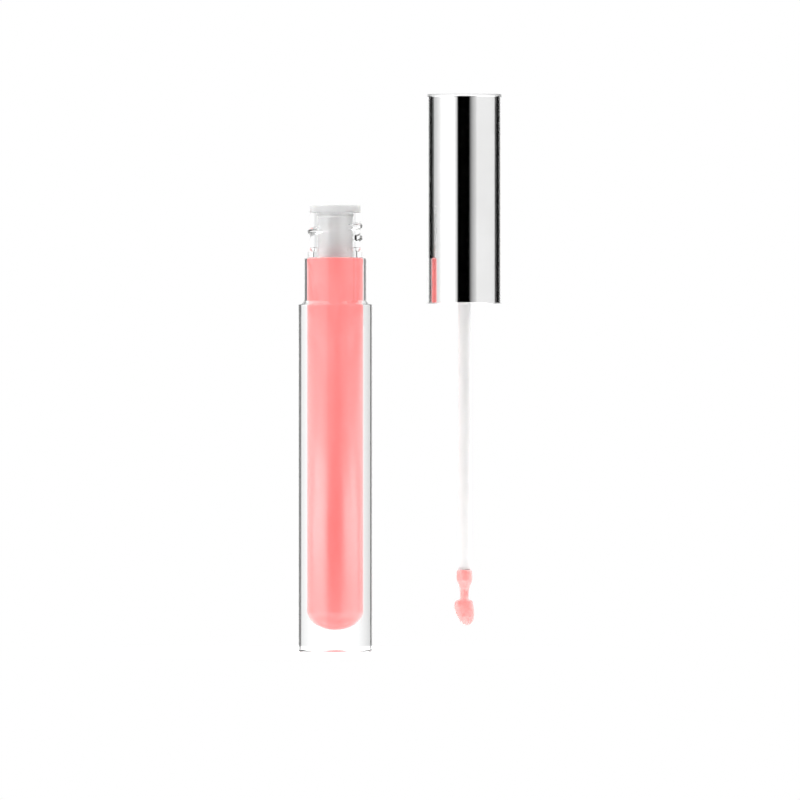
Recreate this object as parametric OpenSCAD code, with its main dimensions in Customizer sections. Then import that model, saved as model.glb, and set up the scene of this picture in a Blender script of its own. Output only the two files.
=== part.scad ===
// Lip gloss tube, shown open: a thick clear bottle with its wiper and gloss,
// and beside it the cap with the wand and the doe-foot applicator.
// Origin: centre of the bottle's base, on the surface that it stands on. +Z is up.

/* [Bottle] */
// Outer diameter of the bottle and of the cap
body_d = 16.0; // [14:0.5:20]
// Height of the wide lower body, up to the shoulder
body_h = 74.6; // [60:0.1:85]
// Diameter of the narrower step above the shoulder, which the cap slides over
step_d = 13.46; // [13:0.02:13.6]
// Height of the top of that step
step_top = 84.5; // [84:0.1:84.8]
// Outer diameter of the neck
neck_d = 10.86; // [10.6:0.02:11]
// Height of the top of the neck
neck_top = 94.2; // [94:0.1:94.4]
// Diameter of the bore that holds the gloss
bore_d = 8.0; // [7.6:0.1:8.4]
// Height of the lowest point of the round-bottomed bore
bore_floor = 4.8; // [3:0.1:5.5]
// Height of the shallow round hollow under the base
hollow_h = 1.3; // [0.5:0.1:1.5]

/* [Thread] */
// Rise of the neck's thread in one turn
thread_pitch = 2.6; // [2.4:0.1:2.8]
// Diameter over the crests of the neck's thread
thread_d = 11.8; // [11.6:0.1:11.9]
// Height of the thread's middle where its first turn begins, on the +X side
thread_start = 88.8; // [88.4:0.1:89]

/* [Wiper] */
// Outer diameter of the wiper's barrel inside the neck
wiper_d = 7.5; // [7:0.1:7.6]
// Inner diameter of the wiper's barrel
wiper_bore_d = 6.0; // [5.9:0.1:6.1]
// Diameter of the hole in the wiper's lip
wiper_lip_d = 2.6; // [2.5:0.1:2.8]
// Thickness of the wiper's flange on top of the neck
flange_t = 1.6; // [1.2:0.1:1.6]

/* [Gloss] */
// Height of the gloss's surface
gloss_top = 84.3; // [60:0.1:84.4]

/* [Cap] */
// Distance from the bottle's axis to the cap's axis, sideways
cap_x = 27.7; // [24:0.1:40]
// Distance from the bottle's axis to the cap's axis, towards the front
cap_front = 6; // [0:0.5:20]
// Height of the cap's rim when the cap is closed
cap_rim = 74.7; // [74.65:0.05:75.2]
// Height of the top of the cap
cap_top = 119.5; // [115:0.1:125]
// Wall thickness of the clear overshell
overshell_wall = 0.55; // [0.5:0.01:0.58]
// Wall thickness of the mirror-coated sleeve
sleeve_wall = 0.3; // [0.25:0.01:0.32]

/* [Wand] */
// Diameter of the wand
wand_d = 2.7; // [2.4:0.1:3]
// Height of the shoulder where the applicator meets the wand
wand_end = 17.7; // [15:0.1:20]
// Diameter of the applicator's collar
collar_d = 3.38; // [3.2:0.02:3.6]
// Thickness of the applicator's paddle from front to back
paddle_t = 2.4; // [2:0.1:3]

/* [Hidden] */
$fn = 96;

body_r = body_d / 2;
step_r = step_d / 2;
neck_r = neck_d / 2;
bore_r = bore_d / 2;
thread_r = thread_d / 2;
wand_r = wand_d / 2;
edge = 0.35;                       // rounding of outer edges, drawn as a small bevel
base_edge = 0.2;                   // the same at the bottle's base
hollow_r = body_r - 1.1;            // leaves a flat ring for the bottle to stand on
hollow_ball = (hollow_r * hollow_r + hollow_h * hollow_h) / (2 * hollow_h);
fillet_w = 0.5;                    // width of the sloped foot of the step
fillet_h = 0.7;                    // height of that foot above the shoulder
bead_r = neck_r + 0.49;            // bead at the foot of the neck
bead_h = 1.3;                      // straight part of the bead
bead_slope = 0.9;                  // slope from the bead up to the neck
flange_top = neck_top + flange_t;  // top of the wiper, which the cap's liner seals

sleeve_r = body_r - overshell_wall - 0.05;   // 0.05 mm glue gap inside the overshell
sleeve_in = sleeve_r - sleeve_wall;
sleeve_rim = cap_rim + 0.15;
sleeve_top = cap_top - 0.45;
insert_r = sleeve_in - 0.05;                 // 0.05 mm glue gap inside the sleeve
insert_bore = thread_r + 0.15;               // clears the neck's thread and bead
insert_crest = neck_r + 0.12;                // crests of the insert's own thread
insert_bottom = step_top + 0.5;
liner_bottom = flange_top + 0.05;
liner_t = 0.8;
web_bottom = liner_bottom + liner_t + 0.1;   // web that carries the wand
web_t = 1.2;
web_top = web_bottom + web_t;
insert_top = web_top + 2.5;
insert_wall = 0.7;                           // wall above the web
head_r = 3.0;                                // head of the wand, on the web
head_t = 2.0;
boss_wall = 0.9;                             // ring around the wand's head
spigot_r = 0.9;                              // end of the wand inside the collar
spigot_len = 3.2;
ridge_foot = 1.4;                            // thread's width at its foot
ridge_crest = 0.5;                           // thread's width at its crest
ridge_sink = 0.25;                           // depth of the ridge's foot in the wall

// One ring of a thread ridge: foot, crest, crest, foot, at turn angle a
function ridge_ring(a, z, foot_r, crest_r) = [
    for (p = [[foot_r, -ridge_foot], [crest_r, -ridge_crest], [crest_r, ridge_crest],
              [foot_r, ridge_foot]])
        [p[0] * cos(a), p[0] * sin(a), z + p[1] / 2]
];

// A right-hand thread ridge from angle a0 to a1, at height z where the angle is 0.
// Its crest fades into the wall over the first and last 30 degrees.
module thread_ridge(a0, a1, z, foot_r, crest_r, step = 10) {
    n = ceil((a1 - a0) / step);
    fade = 30;
    points = [for (i = [0 : n]) let (
            a = a0 + (a1 - a0) * i / n,
            grow = min(1, (a - a0) / fade + 0.15, (a1 - a) / fade + 0.15),
            start_r = foot_r + sign(crest_r - foot_r) * ridge_sink
        ) each ridge_ring(a, z + thread_pitch * a / 360, foot_r,
                          start_r + (crest_r - start_r) * grow)];
    sides = [for (i = [0 : n - 1]) for (j = [0 : 3]) let (k = (j + 1) % 4)
        [4 * i + j, 4 * i + k, 4 * i + 4 + k, 4 * i + 4 + j]];
    ends = [[3, 2, 1, 0], [4 * n, 4 * n + 1, 4 * n + 2, 4 * n + 3]];
    outward = crest_r > foot_r;
    polyhedron(points, outward ? concat(sides, ends) : [
        for (f = concat(sides, ends)) [for (i = [len(f) - 1 : -1 : 0]) f[i]]
    ]);
}

// Thick-walled clear bottle with the hollow under its base, its shoulder, step, neck,
// bead and thread
module bottle() {
    color([0.90, 0.92, 0.93, 0.4]) {
        difference() {
            union() {
                rotate_extrude() polygon([
                    [0, 0], [body_r - base_edge, 0], [body_r, base_edge],
                    [body_r, body_h - edge / 2], [body_r - edge / 2, body_h],
                    [step_r + fillet_w, body_h], [step_r, body_h + fillet_h],
                    [step_r, step_top - edge / 2], [step_r - edge / 2, step_top],
                    [bead_r, step_top], [bead_r, step_top + bead_h],
                    [neck_r, step_top + bead_h + bead_slope],
                    [neck_r, neck_top], [0, neck_top]
                ]);
                thread_ridge(-20, 380, thread_start, neck_r - ridge_sink, thread_r);
            }
            translate([0, 0, bore_floor + bore_r]) cylinder(r = bore_r, h = neck_top);
            translate([0, 0, bore_floor + bore_r]) sphere(r = bore_r);
            translate([0, 0, hollow_h - hollow_ball]) sphere(r = hollow_ball);
        }
    }
}

// Polyethylene wiper: flange, straight barrel with a sealing rib, and a funnel to the lip
module wiper() {
    r_out = wiper_d / 2;
    r_in = wiper_bore_d / 2;
    lip_r = wiper_lip_d / 2;
    rib_r = bore_r - 0.02;
    rib_low = neck_top - 0.7;
    rib_high = neck_top - 0.4;
    barrel_end = step_top + 0.2;
    funnel_h = 1.7;
    lip_t = 0.45;
    color([0.93, 0.93, 0.93]) rotate_extrude() polygon([
        [lip_r, barrel_end], [r_out - 0.25, barrel_end], [r_out, barrel_end + 0.25],
        [r_out, rib_low - 0.2], [rib_r, rib_low], [rib_r, rib_high], [r_out, rib_high + 0.2],
        [r_out, neck_top], [neck_r, neck_top],
        [neck_r, flange_top - 0.15], [neck_r - 0.15, flange_top],
        [r_in + 0.6, flange_top], [r_in, flange_top - 0.6],
        [r_in, barrel_end + lip_t + funnel_h], [lip_r, barrel_end + lip_t]
    ]);
}

// The gloss, a viscous fill that takes the shape of the bore
module gloss_fill() {
    r = bore_r - 0.02;
    color([0.98, 0.58, 0.57]) union() {
        translate([0, 0, bore_floor + bore_r])
            cylinder(r = r, h = gloss_top - bore_floor - bore_r);
        translate([0, 0, bore_floor + bore_r]) sphere(r = r);
    }
}

// Everything below belongs to the cap and is drawn around the cap's axis
module on_cap_axis() {
    translate([cap_x, -cap_front, 0]) children();
}

// Soft sealing washer, loose between the cap's web and the wiper's flange
module cap_liner() {
    color([0.96, 0.96, 0.94]) on_cap_axis() translate([0, 0, liner_bottom])
        difference() {
            cylinder(r = neck_r - 0.1, h = liner_t);
            translate([0, 0, -1]) cylinder(r = wand_r + 0.3, h = liner_t + 2);
        }
}

// Thin clear overshell around the whole cap, closed at the top
module cap_overshell() {
    color([0.92, 0.94, 0.95, 0.35]) on_cap_axis() rotate_extrude() polygon([
        [body_r - overshell_wall, cap_rim], [body_r - edge / 2, cap_rim],
        [body_r, cap_rim + edge / 2], [body_r, cap_top - edge],
        [body_r - edge, cap_top], [0, cap_top], [0, sleeve_top + 0.05],
        [body_r - overshell_wall, sleeve_top + 0.05]
    ]);
}

// Mirror-coated sleeve, a cup with a small radius at its top edge
module cap_sleeve() {
    bend = 0.5;
    color([0.80, 0.80, 0.81]) on_cap_axis() rotate_extrude() polygon([
        [sleeve_in, sleeve_rim], [sleeve_r, sleeve_rim], [sleeve_r, sleeve_top - bend],
        [sleeve_r - 0.15, sleeve_top - 0.15], [sleeve_r - bend, sleeve_top],
        [0, sleeve_top], [0, sleeve_top - sleeve_wall], [sleeve_in, sleeve_top - sleeve_wall]
    ]);
}

// Inner cap: threaded skirt below the web, boss for the wand's head above it
module cap_insert() {
    color([0.94, 0.94, 0.94]) on_cap_axis() {
        difference() {
            translate([0, 0, insert_bottom])
                cylinder(r = insert_r, h = insert_top - insert_bottom);
            translate([0, 0, insert_bottom - 1])
                cylinder(r = insert_bore, h = web_bottom - insert_bottom + 1);
            translate([0, 0, web_top])
                cylinder(r = insert_r - insert_wall, h = insert_top);
            translate([0, 0, web_bottom - 1]) cylinder(r = wand_r + 0.03, h = web_t + 2);
        }
        translate([0, 0, web_top - 0.1]) difference() {
            cylinder(r = head_r + boss_wall, h = head_t + 0.1);
            translate([0, 0, -1]) cylinder(r = head_r + 0.03, h = head_t + 2);
        }
        for (a = [0 : 60 : 300]) rotate([0, 0, a])
            translate([head_r + boss_wall - 0.2, -0.3, web_top - 0.1])
                cube([insert_r - insert_wall - head_r - boss_wall + 0.4, 0.6, head_t + 0.1]);
        thread_ridge(200, 480, thread_start - thread_pitch / 2,
                     insert_bore + ridge_sink, insert_crest);
    }
}

// Wand: a round rod with a head on the web and a spigot inside the applicator
module wand() {
    color([0.95, 0.95, 0.95]) on_cap_axis() rotate_extrude() polygon([
        [0, wand_end - spigot_len], [spigot_r - 0.2, wand_end - spigot_len],
        [spigot_r, wand_end - spigot_len + 0.3], [spigot_r, wand_end],
        [wand_r, wand_end], [wand_r, web_top + 0.02], [head_r, web_top + 0.02],
        [head_r, web_top + head_t], [0, web_top + head_t]
    ]);
}

// Doe-foot applicator: collar over the spigot, slim neck and slanted paddle
module applicator_tip() {
    collar_r = collar_d / 2;
    collar_h = 2.4;
    waist_r = 0.95;
    waist_top = wand_end - 4.1;
    paddle_top = 11.1;
    rim = paddle_t / 2;
    // centres of the balls that the paddle's skin is stretched over: [x, z, radius]
    balls = [
        [-1.45, 9.90, 0.75], [1.10, 10.05, 0.90], [-1.25, 8.95, 0.95],
        [1.05, 7.40, 1.05], [0.55, 6.95, 1.15]
    ];
    color([0.98, 0.66, 0.66]) on_cap_axis() {
        difference() {
            rotate_extrude() polygon([
                [0, paddle_top - 1.2], [waist_r, paddle_top - 1.2], [waist_r, waist_top],
                [collar_r, wand_end - collar_h], [collar_r, wand_end - 0.2],
                [collar_r - 0.2, wand_end - 0.02], [0, wand_end - 0.02]
            ]);
            translate([0, 0, wand_end - spigot_len - 0.05])
                cylinder(r = spigot_r + 0.01, h = spigot_len + 1);
        }
        hull() {
            for (b = balls) translate([b[0], 0, b[1]]) sphere(r = b[2], $fn = 32);
            translate([0, 0, paddle_top - 1.0]) rotate([90, 0, 0])
                cylinder(r = 0.6, h = paddle_t - 0.8, center = true, $fn = 32);
            translate([0.3, 0, 8.4]) rotate([90, 0, 0])
                cylinder(r = 0.9, h = 2 * rim, center = true, $fn = 32);
        }
    }
}

bottle();
wiper();
gloss_fill();
cap_liner();
cap_overshell();
cap_sleeve();
cap_insert();
wand();
applicator_tip();
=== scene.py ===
"""An open lip gloss tube: the clear bottle with its wiper and gloss, and the cap with its wand.

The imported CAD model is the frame. Lathed and lofted pieces with rounded edges stand for its
nodes, and each rides on the CAD body of the node that it replaces.
"""
import math

import bpy
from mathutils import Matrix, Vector, noise


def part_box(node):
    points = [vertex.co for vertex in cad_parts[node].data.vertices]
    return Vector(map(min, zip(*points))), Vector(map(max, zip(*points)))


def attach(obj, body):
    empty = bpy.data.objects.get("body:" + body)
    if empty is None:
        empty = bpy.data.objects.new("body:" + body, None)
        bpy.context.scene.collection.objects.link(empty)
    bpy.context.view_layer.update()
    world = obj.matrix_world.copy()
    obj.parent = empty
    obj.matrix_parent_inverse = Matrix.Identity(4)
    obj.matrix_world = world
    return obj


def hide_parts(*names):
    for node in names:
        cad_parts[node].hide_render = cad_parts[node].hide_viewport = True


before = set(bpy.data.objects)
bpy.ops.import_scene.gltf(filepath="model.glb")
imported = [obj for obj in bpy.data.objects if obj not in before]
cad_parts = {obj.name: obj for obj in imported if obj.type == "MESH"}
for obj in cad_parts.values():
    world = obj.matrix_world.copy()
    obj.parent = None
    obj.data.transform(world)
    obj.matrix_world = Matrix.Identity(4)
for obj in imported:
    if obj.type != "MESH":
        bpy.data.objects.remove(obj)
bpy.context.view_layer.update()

MM = 0.001
SEGMENTS = 192


# ---------------------------------------------------------------- places, from the frame

def centre_of(node):
    low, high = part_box(node)
    return ((low[0] + high[0]) / 2, (low[1] + high[1]) / 2)


def heights_of(node):
    """The node's lowest and highest point, in mm."""
    low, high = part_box(node)
    return low[2] / MM, high[2] / MM


BOTTLE_AXIS = centre_of("bottle")
CAP_AXIS = centre_of("cap_sleeve")
NECK_TOP = heights_of("bottle")[1]
FLANGE_TOP = heights_of("wiper")[1]
GLOSS_FLOOR, GLOSS_TOP = heights_of("gloss_fill")
RIM, CAP_TOP = heights_of("cap_overshell")
SLEEVE_RIM, SLEEVE_TOP = heights_of("cap_sleeve")
WAND_LOW, WAND_TOP = heights_of("wand")
TIP_LOW, TIP_TOP = heights_of("applicator_tip")

# radii and heights of the design, in mm
BODY_R, BODY_H = 8.0, 74.6
STEP_R, STEP_TOP = 6.73, 84.5
NECK_R, BORE_R = 5.43, 4.0
BEAD_R, BEAD_TOP, NECK_FOOT = 5.92, 85.8, 86.7
BASE_HOLLOW_R, BASE_HOLLOW_H = 6.9, 1.3
THREAD_H, THREAD_PITCH, THREAD_START = 0.47, 2.6, 88.8
THREAD_HALF_FOOT, THREAD_FLANK = 0.75, 0.45
THREAD_FIRST, THREAD_LAST, THREAD_FADE = -20.0, 380.0, 30.0     # angles, in degrees
SLEEVE_R, SLEEVE_IN = 7.40, 7.10
SHELL_IN = 7.45
WAND_R, HEAD_R, SPIGOT_R = 1.35, 3.0, 0.9
WIPER_LIP_R, WIPER_IN, WIPER_R = 1.3, 3.0, 3.75
FIT_GAP = 0.02        # between a piece and the one that it fills or sits on
GLUE_GAP = 0.05       # between the cap's shell and its sleeve


# ---------------------------------------------------------------- meshes

def rounded(corners, steps=6, support=0.05):
    """Outline points from (radius, height, rounding) corners, in mm.

    Each rounding becomes an arc. Straight stretches get a point close to each end, so that
    smooth shading stays flat along them.
    """
    out = []
    for i, (r, z, rho) in enumerate(corners):
        p = Vector((r, z))
        if rho == 0 or i in (0, len(corners) - 1):
            out.append([p])
            continue
        a = (Vector(corners[i - 1][:2]) - p).normalized()
        b = (Vector(corners[i + 1][:2]) - p).normalized()
        half = a.angle(b) / 2
        middle = p + (a + b).normalized() * rho / math.sin(half)
        first = p + a * rho / math.tan(half) - middle
        last = p + b * rho / math.tan(half) - middle
        turn = first.angle_signed(last)
        arc = []
        for k in range(steps + 1):
            angle = -turn * k / steps
            arc.append(middle + Vector((first.x * math.cos(angle) - first.y * math.sin(angle),
                                        first.x * math.sin(angle) + first.y * math.cos(angle))))
        out.append(arc)
    points = []
    for i, arc in enumerate(out):
        if i:
            start, end = points[-1], arc[0]
            if (end - start).length > 4 * support:
                step = (end - start).normalized() * support
                points += [start + step, end - step]
        points += arc
    return points


def between(points, low, high, radius, step):
    """Adds rings at each step of height to the straight wall of that radius."""
    same = 0.001
    out = [points[0]]
    for q, p in zip(points, points[1:]):
        length = abs(p.y - q.y)
        on_wall = abs(p.x - radius) < same and abs(q.x - radius) < same
        if on_wall and length > 2 * step:
            n = int(length / step)
            rings = [q.lerp(p, k / n) for k in range(1, n)]
            out += [ring for ring in rings if low < ring.y < high]
        out.append(p)
    return out


def new_piece(name, vertices, faces):
    mesh = bpy.data.meshes.new(name)
    mesh.from_pydata(vertices, [], faces)
    mesh.validate()
    for polygon in mesh.polygons:
        polygon.use_smooth = True
    piece = bpy.data.objects.new(name, mesh)
    bpy.context.scene.collection.objects.link(piece)
    return piece


def lathe(name, outline, axis, closed=False, bulge=None, segments=SEGMENTS):
    """Turns an outline round a vertical axis. bulge(angle, radius, height) adds to the radius.

    An open outline starts and ends on the axis; a closed one makes a ring.
    """
    vertices, rings, faces = [], [], []
    for p in outline:
        if p.x < 1e-6:
            rings.append([len(vertices)] * segments)
            vertices.append((axis[0], axis[1], p.y * MM))
            continue
        ring = []
        for k in range(segments):
            angle = 2 * math.pi * k / segments
            r = p.x + (bulge(angle, p.x, p.y) if bulge else 0)
            ring.append(len(vertices))
            vertices.append((axis[0] + r * MM * math.cos(angle),
                             axis[1] + r * MM * math.sin(angle), p.y * MM))
        rings.append(ring)
    pairs = list(zip(rings, rings[1:]))
    if closed:
        pairs.append((rings[-1], rings[0]))
    for low, high in pairs:
        for k in range(segments):
            j = (k + 1) % segments
            face = [low[k], low[j], high[j], high[k]]
            face = [v for n, v in enumerate(face) if v not in face[:n]]
            if len(face) > 2:
                faces.append(face)
    return new_piece(name, vertices, faces)


def smooth_step(x):
    x = min(1.0, max(0.0, x))
    return x * x * (3 - 2 * x)


def thread(angle, radius, height):
    """How far the neck's one-start thread stands out of the neck's wall."""
    if abs(radius - NECK_R) > 0.01:
        return 0
    best = 0
    for turn in (-1, 0, 1):
        degrees = math.degrees(angle) + 360 * turn
        if not THREAD_FIRST <= degrees <= THREAD_LAST:
            continue
        away = abs(height - THREAD_START - THREAD_PITCH * degrees / 360)
        fade = smooth_step(min(degrees - THREAD_FIRST, THREAD_LAST - degrees) / THREAD_FADE)
        swell = smooth_step((THREAD_HALF_FOOT - away) / THREAD_FLANK)
        best = max(best, THREAD_H * fade * swell)
    return best


def through(stations, z):
    """Catmull-Rom values at height z through stations, each (z, value, value, ...)."""
    for i in range(len(stations) - 1):
        if stations[i][0] >= z >= stations[i + 1][0]:
            break
    picks = [stations[min(max(i + k, 0), len(stations) - 1)] for k in (-1, 0, 1, 2)]
    t = (z - picks[1][0]) / (picks[2][0] - picks[1][0])
    out = []
    for a, b, c, d in list(zip(*picks))[1:]:
        out.append(0.5 * (2 * b + (c - a) * t + (2 * a - 5 * b + 4 * c - d) * t * t
                          + (3 * b - a - 3 * c + d) * t ** 3))
    return out


def loft(name, stations, axis, heights, segments=96):
    """A closed skin over super-ellipses. A station is (z, left, right, half depth, power)."""
    thinnest, lumps, lump_scale = 0.01, 0.03, 1.3
    vertices, faces = [], []
    for z in heights:
        left, right, depth, power = through(stations, z)
        middle, width = (left + right) / 2, max((right - left) / 2, thinnest)
        for k in range(segments):
            angle = 2 * math.pi * k / segments
            c, s = math.cos(angle), math.sin(angle)
            x = middle + width * math.copysign(abs(c) ** (2 / power), c)
            y = max(depth, thinnest) * math.copysign(abs(s) ** (2 / power), s)
            swell = lumps * noise.noise(Vector((x, y, z)) * lump_scale)
            vertices.append((axis[0] + (x + c * swell) * MM, axis[1] + (y + s * swell) * MM,
                             z * MM))
    for row in range(len(heights) - 1):
        for k in range(segments):
            j = (k + 1) % segments
            a, b = row * segments, (row + 1) * segments
            faces.append([a + j, a + k, b + k, b + j])
    faces.append(list(range(segments)))
    faces.append([(len(heights) - 1) * segments + k for k in reversed(range(segments))])
    return new_piece(name, vertices, faces)


# ---------------------------------------------------------------- materials

class Nodes:
    """A material's node tree with short calls for adding and linking nodes."""

    def __init__(self, name):
        self.material = bpy.data.materials.new(name)
        self.material.use_nodes = True
        self.tree = self.material.node_tree
        self.shader = self.tree.nodes["Principled BSDF"]
        self.where = self.add("ShaderNodeTexCoord").outputs["Object"]

    def add(self, kind, **values):
        node = self.tree.nodes.new(kind)
        for key, value in values.items():
            setattr(node, key, value)
        return node

    def link(self, source, target):
        self.tree.links.new(source, target)

    def set(self, **values):
        for key, value in values.items():
            self.shader.inputs[key.replace("_", " ")].default_value = value

    def noise(self, scale, detail=4.0, stretch=(1, 1, 1)):
        """Noise over the object, in waves of about 1 / scale metres."""
        mapping = self.add("ShaderNodeMapping")
        mapping.inputs["Scale"].default_value = stretch
        self.link(self.where, mapping.inputs["Vector"])
        node = self.add("ShaderNodeTexNoise")
        node.inputs["Scale"].default_value = scale
        node.inputs["Detail"].default_value = detail
        node.inputs["Roughness"].default_value = 0.55
        self.link(mapping.outputs["Vector"], node.inputs["Vector"])
        return node.outputs["Fac"]

    def ramp(self, source, low, high, start=0.3, end=0.7):
        """Turns a value into a colour between low and high."""
        node = self.add("ShaderNodeValToRGB")
        for element, place, colour in zip(node.color_ramp.elements, (start, end), (low, high)):
            element.position = place
            element.color = (*colour, 1)
        self.link(source, node.inputs["Fac"])
        return node.outputs["Color"]

    def spread(self, source, low, high):
        """Turns a value from 0 to 1 into one from low to high."""
        node = self.add("ShaderNodeMapRange")
        node.inputs["From Min"].default_value = 0.3
        node.inputs["From Max"].default_value = 0.7
        node.inputs["To Min"].default_value = low
        node.inputs["To Max"].default_value = high
        self.link(source, node.inputs["Value"])
        return node.outputs["Result"]

    def bump(self, source, distance):
        node = self.add("ShaderNodeBump")
        node.inputs["Strength"].default_value = 1.0
        node.inputs["Distance"].default_value = distance
        self.link(source, node.inputs["Height"])
        self.link(node.outputs["Normal"], self.shader.inputs["Normal"])

    def lets_lamps_through(self, colour):
        """Rays that look for lamps pass straight on, so that what is inside gets its light."""
        path = self.add("ShaderNodeLightPath")
        clear = self.add("ShaderNodeBsdfTransparent")
        clear.inputs["Color"].default_value = (*colour, 1)
        mix = self.add("ShaderNodeMixShader")
        self.link(path.outputs["Is Shadow Ray"], mix.inputs["Fac"])
        self.link(self.shader.outputs["BSDF"], mix.inputs[1])
        self.link(clear.outputs["BSDF"], mix.inputs[2])
        self.link(mix.outputs["Shader"], self.tree.nodes["Material Output"].inputs["Surface"])


def clear_plastic(name, tint, ior, wave):
    """Polished clear plastic with the faint waviness of moulding and slight handling haze."""
    n = Nodes(name)
    n.set(Transmission_Weight=1.0, IOR=ior)
    pale = tuple(0.985 * c for c in tint)
    n.link(n.ramp(n.noise(120), pale, tint), n.shader.inputs["Base Color"])
    n.link(n.spread(n.noise(900, 6), 0.008, 0.02), n.shader.inputs["Roughness"])
    n.bump(n.noise(160, 2, (1, 1, 0.25)), wave)
    n.lets_lamps_through(tint)
    return n.material


def gloss_material():
    """Thick pink gloss: soft light inside, slow streaks of pigment, and a wet surface."""
    n = Nodes("gloss")
    colour = n.ramp(n.noise(260, 5, (1, 1, 0.18)), (1.0, 0.165, 0.16), (1.0, 0.20, 0.195))
    n.link(colour, n.shader.inputs["Base Color"])
    n.link(n.spread(n.noise(500), 0.32, 0.38), n.shader.inputs["Roughness"])
    n.set(IOR=1.75, Specular_IOR_Level=1.0, Subsurface_Weight=0.3, Subsurface_Scale=0.0015,
          Subsurface_Radius=(1.0, 0.35, 0.3))
    return n.material


def mirror_material():
    """Vacuum-metallised mirror with hair-fine turning marks."""
    n = Nodes("mirror_coat")
    n.set(Metallic=1.0, Specular_Tint=(0.5, 0.5, 0.5, 1))
    tone = n.ramp(n.noise(90), (0.90, 0.90, 0.895), (0.93, 0.93, 0.93))
    n.link(tone, n.shader.inputs["Base Color"])
    n.link(n.spread(n.noise(2500, 3, (1, 1, 6)), 0.015, 0.035), n.shader.inputs["Roughness"])
    n.bump(n.noise(1500, 2, (0.3, 0.3, 4)), 0.0000015)
    return n.material


def pale_plastic(name, low, high, rough, soft, grain, clear=0.0, gleam=0.5):
    """White moulded plastic that light enters: fine grain and slight shifts of tone.

    low and high are greys. clear is the share of light that passes through, gleam the shine.
    """
    n = Nodes(name)
    n.link(n.ramp(n.noise(180, 5, (1, 1, 0.4)), low, high), n.shader.inputs["Base Color"])
    n.link(n.spread(n.noise(1200), rough - 0.05, rough + 0.05), n.shader.inputs["Roughness"])
    n.set(IOR=1.5, Subsurface_Weight=soft, Subsurface_Scale=0.004,
          Subsurface_Radius=(1.0, 1.0, 0.95), Transmission_Weight=clear,
          Specular_IOR_Level=gleam)
    n.bump(n.noise(5000, 6), grain)
    return n.material


def applicator_material():
    """Short flock soaked in gloss: blotches of denser pink under a wet coat."""
    n = Nodes("applicator")
    colour = n.ramp(n.noise(900, 6), (0.98, 0.27, 0.26), (1.0, 0.42, 0.40), 0.25, 0.75)
    n.link(colour, n.shader.inputs["Base Color"])
    n.link(n.spread(n.noise(2500), 0.30, 0.45), n.shader.inputs["Roughness"])
    n.set(IOR=1.45, Subsurface_Weight=0.4, Subsurface_Scale=0.0008,
          Subsurface_Radius=(1.0, 0.4, 0.35), Coat_Weight=0.7, Coat_Roughness=0.12)
    n.bump(n.noise(3500, 5), 0.00002)
    return n.material


MICRON = 0.000001
ACRYLIC_IOR = 1.49
BOTTLE_PLASTIC = clear_plastic("clear_bottle", (0.985, 0.99, 0.99), ACRYLIC_IOR, 2.5 * MICRON)
SHELL_PLASTIC = clear_plastic("clear_overshell", (0.985, 0.985, 0.985), ACRYLIC_IOR, MICRON)
GLOSS = gloss_material()
MIRROR = mirror_material()
WIPER_PLASTIC = pale_plastic("wiper_plastic", (0.94, 0.94, 0.94), (0.98, 0.98, 0.98),
                             rough=0.42, soft=1.0, grain=3 * MICRON, clear=0.55, gleam=0.2)
INSERT_PLASTIC = pale_plastic("insert_plastic", (0.78, 0.78, 0.77), (0.82, 0.82, 0.81),
                              rough=0.45, soft=0.2, grain=4 * MICRON)
WAND_PLASTIC = pale_plastic("wand_plastic", (0.80, 0.80, 0.80), (0.84, 0.84, 0.84),
                            rough=0.35, soft=1.0, grain=2 * MICRON, clear=0.35, gleam=0.1)
LINER_FOAM = pale_plastic("liner_foam", (0.72, 0.72, 0.70), (0.85, 0.85, 0.82),
                          rough=0.8, soft=0.3, grain=20 * MICRON)
FLOCK = applicator_material()


# ---------------------------------------------------------------- pieces

def finish_piece(piece, material, body, slot, *nodes):
    """Gives a piece its material and body, and hides the CAD nodes that it stands for."""
    piece.data.materials.append(material)
    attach(piece, body)
    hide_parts(*nodes)
    return piece


def half_ball(floor, radius, steps=24):
    """Outline of a round bottom, from its lowest point up to the full radius."""
    points = []
    for k in range(steps + 1):
        angle = math.pi / 2 * k / steps
        points.append(Vector((radius * math.sin(angle), floor + radius * (1 - math.cos(angle)))))
    return points


def hollow(width, height, steps=16):
    """Outline of a shallow round hollow under a base, from its top out to its rim."""
    ball = (width * width + height * height) / (2 * height)
    reach = math.asin(width / ball)
    return [Vector((ball * math.sin(reach * k / steps),
                    height - ball * (1 - math.cos(reach * k / steps)))) for k in range(steps)]


def make_bottle():
    floor = GLOSS_FLOOR - FIT_GAP
    slope_w, slope_h = 0.5, 0.7        # foot of the step
    ring_step = 0.08                   # fine enough to carry the thread
    outside = hollow(BASE_HOLLOW_R, BASE_HOLLOW_H) + rounded([
        (BASE_HOLLOW_R, 0, 0.05), (BODY_R, 0, 0.2), (BODY_R, BODY_H, 0.3),
        (STEP_R + slope_w, BODY_H, 0.25), (STEP_R, BODY_H + slope_h, 0.3),
        (STEP_R, STEP_TOP, 0.25), (BEAD_R, STEP_TOP, 0.08), (BEAD_R, BEAD_TOP, 0.2),
        (NECK_R, NECK_FOOT, 0.25), (NECK_R, NECK_TOP, 0.08), (BORE_R, NECK_TOP, 0.08),
        (BORE_R, floor + BORE_R, 0),
    ])
    outside = between(outside, NECK_FOOT, NECK_TOP, NECK_R, ring_step)
    bore = list(reversed(half_ball(floor, BORE_R)))[1:]
    piece = lathe("bottle_glass", outside + bore, BOTTLE_AXIS, bulge=thread, segments=256)
    return finish_piece(piece, BOTTLE_PLASTIC, "bottle", "clear_bottle", "bottle")


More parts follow.
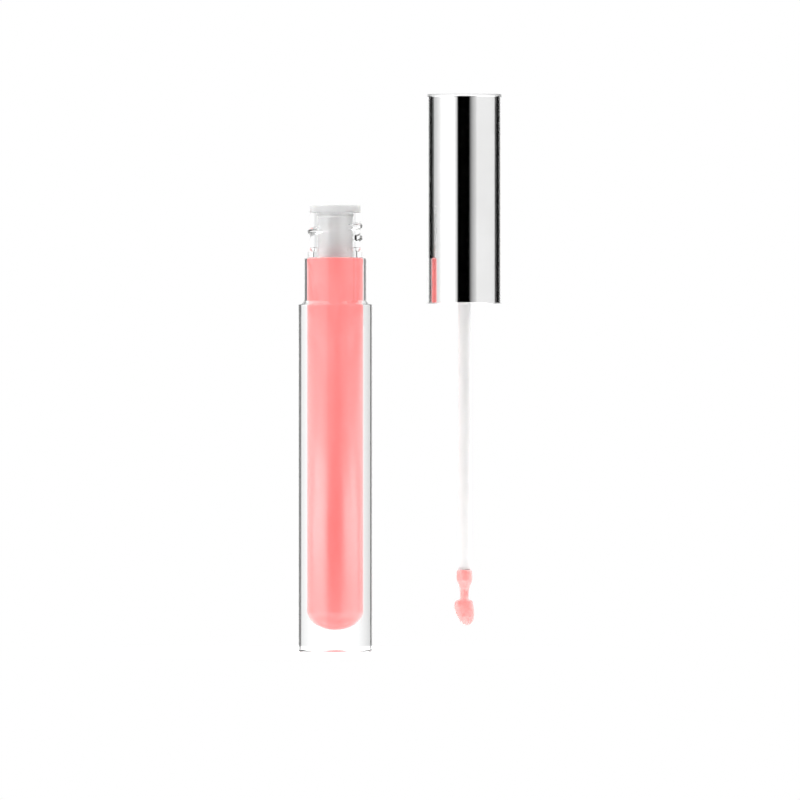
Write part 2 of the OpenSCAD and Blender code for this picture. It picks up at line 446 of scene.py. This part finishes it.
def make_gloss():
    """The gloss wets the bore: it reaches a hair into the wall, and climbs it at its top."""
    overlap, sag, rings = 0.015, 0.35, 12
    radius = BORE_R + overlap
    outline = half_ball(GLOSS_FLOOR - FIT_GAP - overlap, radius)
    for k in range(rings + 1):
        r = radius * (1 - k / rings)
        outline.append(Vector((r, GLOSS_TOP - sag + sag * (r / radius) ** 4)))
    outline[-1].x = 0
    piece = lathe("gloss_liquid", outline, BOTTLE_AXIS)
    return finish_piece(piece, GLOSS, "bottle", "gloss", "gloss_fill")


def make_wiper():
    """Flange, barrel with its sealing rib, and inside it the funnel down to the lip."""
    low = STEP_TOP + 0.2
    rib_r = BORE_R - FIT_GAP
    lip_t, funnel_h, lead_in = 0.45, 1.7, 0.6
    outline = rounded([
        (WIPER_LIP_R, low, 0), (WIPER_R, low, 0.25),
        (WIPER_R, NECK_TOP - 0.9, 0.1), (rib_r, NECK_TOP - 0.7, 0.1),
        (rib_r, NECK_TOP - 0.4, 0.05), (WIPER_R, NECK_TOP - 0.2, 0.05),
        (WIPER_R, NECK_TOP, 0.05), (NECK_R, NECK_TOP, 0.12), (NECK_R, FLANGE_TOP, 0.25),
        (WIPER_IN + lead_in, FLANGE_TOP, 0.2), (WIPER_IN, FLANGE_TOP - lead_in, 0.2),
        (WIPER_IN, low + lip_t + funnel_h, 0.3), (WIPER_LIP_R, low + lip_t, 0.1),
        (WIPER_LIP_R, low, 0),
    ])
    piece = lathe("wiper_seal", outline, BOTTLE_AXIS, closed=True)
    return finish_piece(piece, WIPER_PLASTIC, "bottle", "wiper_plastic", "wiper")


def make_overshell():
    ceiling = SLEEVE_TOP + GLUE_GAP
    outline = rounded([
        (0, ceiling, 0), (SHELL_IN, ceiling, 0.15), (SHELL_IN, RIM, 0.12),
        (BODY_R, RIM, 0.12), (BODY_R, CAP_TOP, 0.04), (0, CAP_TOP, 0),
    ])
    piece = lathe("cap_clear_shell", outline, CAP_AXIS)
    return finish_piece(piece, SHELL_PLASTIC, "applicator", "clear_overshell", "cap_overshell")


def make_sleeve():
    """It casts no shadow, so that the cap doesn't darken the neck beside it."""
    wall = SLEEVE_R - SLEEVE_IN
    outline = rounded([
        (0, SLEEVE_TOP - wall, 0), (SLEEVE_IN, SLEEVE_TOP - wall, 0.3),
        (SLEEVE_IN, SLEEVE_RIM, 0.1), (SLEEVE_R, SLEEVE_RIM, 0.1),
        (SLEEVE_R, SLEEVE_TOP, 0.15), (0, SLEEVE_TOP, 0),
    ])
    piece = lathe("cap_mirror_sleeve", outline, CAP_AXIS, segments=256)
    piece.visible_shadow = False
    return finish_piece(piece, MIRROR, "applicator", "mirror_coat", "cap_sleeve")


def make_wand():
    shoulder = TIP_TOP + FIT_GAP
    head_low = WAND_TOP - 1.98
    outline = rounded([
        (0, WAND_LOW, 0), (SPIGOT_R, WAND_LOW, 0.25), (SPIGOT_R, shoulder, 0.05),
        (WAND_R, shoulder, 0.12), (WAND_R, head_low, 0.05), (HEAD_R, head_low, 0.2),
        (HEAD_R, WAND_TOP, 0.3), (0, WAND_TOP, 0),
    ])
    piece = lathe("wand_rod", outline, CAP_AXIS, segments=96)
    return finish_piece(piece, WAND_PLASTIC, "applicator", "wand_plastic", "wand")


def make_tip():
    """Doe-foot tip: collar, neck and slanted paddle in one soft skin."""
    top, low = TIP_TOP, TIP_LOW
    stations = [
        (top, -1.42, 1.42, 1.42, 2), (top - 0.18, -1.62, 1.62, 1.62, 2),
        (top - 0.7, -1.68, 1.68, 1.68, 2), (top - 2.2, -1.66, 1.66, 1.66, 2),
        (top - 3.2, -1.30, 1.32, 1.30, 2), (top - 4.2, -0.98, 0.98, 0.98, 2),
        (top - 5.6, -0.88, 0.88, 0.90, 2), (top - 6.25, -0.98, 0.95, 0.92, 2),
        (top - 6.55, -1.75, 1.55, 1.00, 2.3), (top - 6.85, -2.05, 1.78, 1.10, 2.4),
        (top - 7.8, -2.18, 1.95, 1.20, 2.4), (top - 8.8, -2.02, 2.05, 1.20, 2.4),
        (top - 10.0, -1.55, 2.05, 1.15, 2.3), (top - 11.0, -0.95, 1.85, 1.00, 2.2),
        (top - 11.55, -0.45, 1.50, 0.75, 2.1), (low + FIT_GAP, 0.15, 0.95, 0.30, 2),
    ]
    count = 150
    heights = [top - (top - low - FIT_GAP) * k / count for k in range(count + 1)]
    piece = loft("doe_foot_tip", stations, CAP_AXIS, heights)
    return finish_piece(piece, FLOCK, "applicator", "applicator", "applicator_tip")


def make_liner():
    low, high = heights_of("cap_liner")
    inner, outer = WAND_R + 0.3, NECK_R - 0.1
    outline = rounded([
        (inner, low, 0.05), (outer, low, 0.15), (outer, high, 0.15), (inner, high, 0.15),
        (inner, low, 0),
    ])
    piece = lathe("cap_liner_washer", outline, CAP_AXIS, closed=True, segments=96)
    return finish_piece(piece, LINER_FOAM, "cap_seal", "liner_foam", "cap_liner")


make_bottle()
make_gloss()
make_wiper()
make_overshell()
make_sleeve()
make_wand()
make_tip()
make_liner()

# the inner cap stays the CAD model's own node; like the sleeve around it, it casts no shadow
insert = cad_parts["cap_insert"]
insert.data.materials.clear()
insert.data.materials.append(INSERT_PLASTIC)
insert.visible_shadow = False


# ---------------------------------------------------------------- studio

def make_floor():
    """A plain pale floor, lit so evenly that it runs into the backdrop."""
    radius, drop, rings = 0.07, 0.0001, 48
    vertices = [(radius * math.cos(2 * math.pi * k / rings),
                 radius * math.sin(2 * math.pi * k / rings), -drop) for k in range(rings)]
    floor = new_piece("floor", vertices, [list(range(rings))])
    n = Nodes("floor_white")
    n.link(n.ramp(n.noise(8), (0.90, 0.90, 0.90), (0.92, 0.92, 0.92)),
           n.shader.inputs["Base Color"])
    n.set(Roughness=0.9, Emission_Color=(1, 1, 1, 1), Emission_Strength=0.55)
    floor.data.materials.append(n.material)


# Brightness of the studio near the horizon, by the angle in degrees from the front, where the
# camera is, minus to the left: walls of soft light with a dark gap behind the camera.
WALLS = [
    (-180, 1.2), (-155, 1.1), (-140, 0.9), (-112, 0.7), (-103, 0.8), (-88, 1.0), (-75, 1.4),
    (-38, 1.4), (-31, 1.05), (-27, 0.85), (-24, 0.5), (-21.5, 0.0), (15, 0.0), (19, 0.2),
    (26, 0.47), (35, 0.7), (42, 0.95), (130, 0.95), (155, 1.1), (180, 1.2),
]
# Brightness of the light from above by the same angle, stronger from the sides.
ABOVE = [(-180, 1.4), (-140, 1.4), (-125, 3.2), (-60, 3.2), (-40, 0.2), (40, 0.2), (60, 3.2),
         (125, 3.2), (140, 1.4), (180, 1.4)]
ABOVE_FROM, ABOVE_TO = 0.10, 0.25   # sines of the heights where the light from above sets in


class World:
    """The studio's light, as nodes that read only the direction of a ray."""

    def __init__(self):
        world = bpy.data.worlds.new("studio")
        bpy.context.scene.world = world
        world.use_nodes = True
        self.tree = world.node_tree
        self.tree.nodes.clear()

    def add(self, kind, *inputs, **values):
        """A node whose first inputs are linked to outputs or set to numbers."""
        node = self.tree.nodes.new(kind)
        for key, value in values.items():
            setattr(node, key, value)
        for socket, value in zip(node.inputs, inputs):
            if isinstance(value, bpy.types.NodeSocket):
                self.tree.links.new(value, socket)
            elif value is not None:
                socket.default_value = value
        return node

    def by_angle(self, share, table):
        """Brightness from a table of (degrees, brightness)."""
        brightest = 4.0
        node = self.add("ShaderNodeFloatCurve", 1.0, share)
        curve = node.mapping.curves[0]
        points = [((degrees + 180) / 360, value / brightest) for degrees, value in table]
        while len(curve.points) < len(points):
            curve.points.new(0.5, 0.5)
        for point, place in zip(curve.points, points):
            point.location = place
            point.handle_type = "VECTOR"
        node.mapping.update()
        scaled = self.add("ShaderNodeMath", node.outputs[0], brightest, operation="MULTIPLY")
        return scaled.outputs[0]


def make_world():
    """Soft light for all rays except the camera's own, which see a plain white backdrop."""
    w = World()
    ray = w.add("ShaderNodeTexCoord").outputs["Generated"]
    split = w.add("ShaderNodeSeparateXYZ", ray)
    front = w.add("ShaderNodeMath", split.outputs["Y"], -1.0, operation="MULTIPLY")
    angle = w.add("ShaderNodeMath", split.outputs["X"], front.outputs[0], operation="ARCTAN2")
    share = w.add("ShaderNodeMapRange", angle.outputs[0], -math.pi, math.pi).outputs[0]
    height = w.add("ShaderNodeMapRange", split.outputs["Z"], ABOVE_FROM, ABOVE_TO).outputs[0]
    blend = w.add("ShaderNodeMix", height, data_type="FLOAT")
    w.tree.links.new(w.by_angle(share, WALLS), blend.inputs["A"])
    w.tree.links.new(w.by_angle(share, ABOVE), blend.inputs["B"])
    light = w.add("ShaderNodeBackground", (1, 1, 1, 1), blend.outputs["Result"])
    backdrop = w.add("ShaderNodeBackground", (1, 1, 1, 1), 1.0)
    seen = w.add("ShaderNodeLightPath").outputs["Is Camera Ray"]
    mix = w.add("ShaderNodeMixShader", seen, light.outputs[0], backdrop.outputs[0])
    w.add("ShaderNodeOutputWorld", mix.outputs[0])
    bpy.context.scene.view_settings.view_transform = "Standard"


def make_flag(name, start, end, low, high, grey):
    """An upright dark card that only reflections and refraction show, in mm.

    It runs from one (x, y) to another, and fades from the grey to black on the way.
    """
    (x0, y0), (x1, y1) = start, end
    card = new_piece(name, [(x * MM, y * MM, z * MM) for x, y, z in (
        (x0, y0, low), (x1, y1, low), (x1, y1, high), (x0, y0, high))], [[0, 1, 2, 3]])
    n = Nodes(name)
    along = n.add("ShaderNodeSeparateXYZ")
    n.link(n.where, along.inputs["Vector"])
    fade = n.add("ShaderNodeMapRange")
    fade.inputs["From Min"].default_value = x0 * MM
    fade.inputs["From Max"].default_value = (x0 + x1) / 2 * MM
    n.link(along.outputs["X"], fade.inputs["Value"])
    n.link(n.ramp(fade.outputs["Result"], (grey, grey, grey), (0.002, 0.002, 0.002), 0, 1),
           n.shader.inputs["Base Color"])
    n.set(Roughness=0.95, Specular_IOR_Level=0.0)
    card.data.materials.append(n.material)
    card.visible_camera = False
    card.visible_shadow = False
    card.visible_diffuse = False


def make_camera():
    """In front of the object, far off, and level with a point near its middle."""
    distance, seen_width, sensor = 3.0, 0.1716, 36
    aim_x, aim_z = 0.0139, 0.05405
    camera = bpy.data.cameras.new("camera")
    camera.sensor_width = sensor
    camera.lens = sensor * distance / seen_width
    camera.clip_start = 0.05
    stand = bpy.data.objects.new("camera", camera)
    stand.location = (aim_x, -distance, aim_z)
    stand.rotation_euler = (math.pi / 2, 0, 0)
    bpy.context.scene.collection.objects.link(stand)
    bpy.context.scene.camera = stand


make_floor()

# dark cards beside the bottle draw its wall lines; those beside the cap draw its mirror's edges
make_flag("flag_back_right", (22, 24.5), (22.1, 17.2), 0, 86, 0.25)
make_flag("flag_back_left", (-20, 19.6), (-20.1, 14.7), 0, 86, 0.2)
make_flag("flag_left_edge", (11.9, -5.2), (14.9, 1.4), 84.5, 120, 0.1)
make_flag("flag_left_edge_low", (14.8, -3.6), (16.5, -2.1), 70, 84.5, 0.1)
make_flag("flag_right_edge", (43.8, -5.8), (40.7, 1.1), 70, 120, 0.1)
make_world()
make_camera()
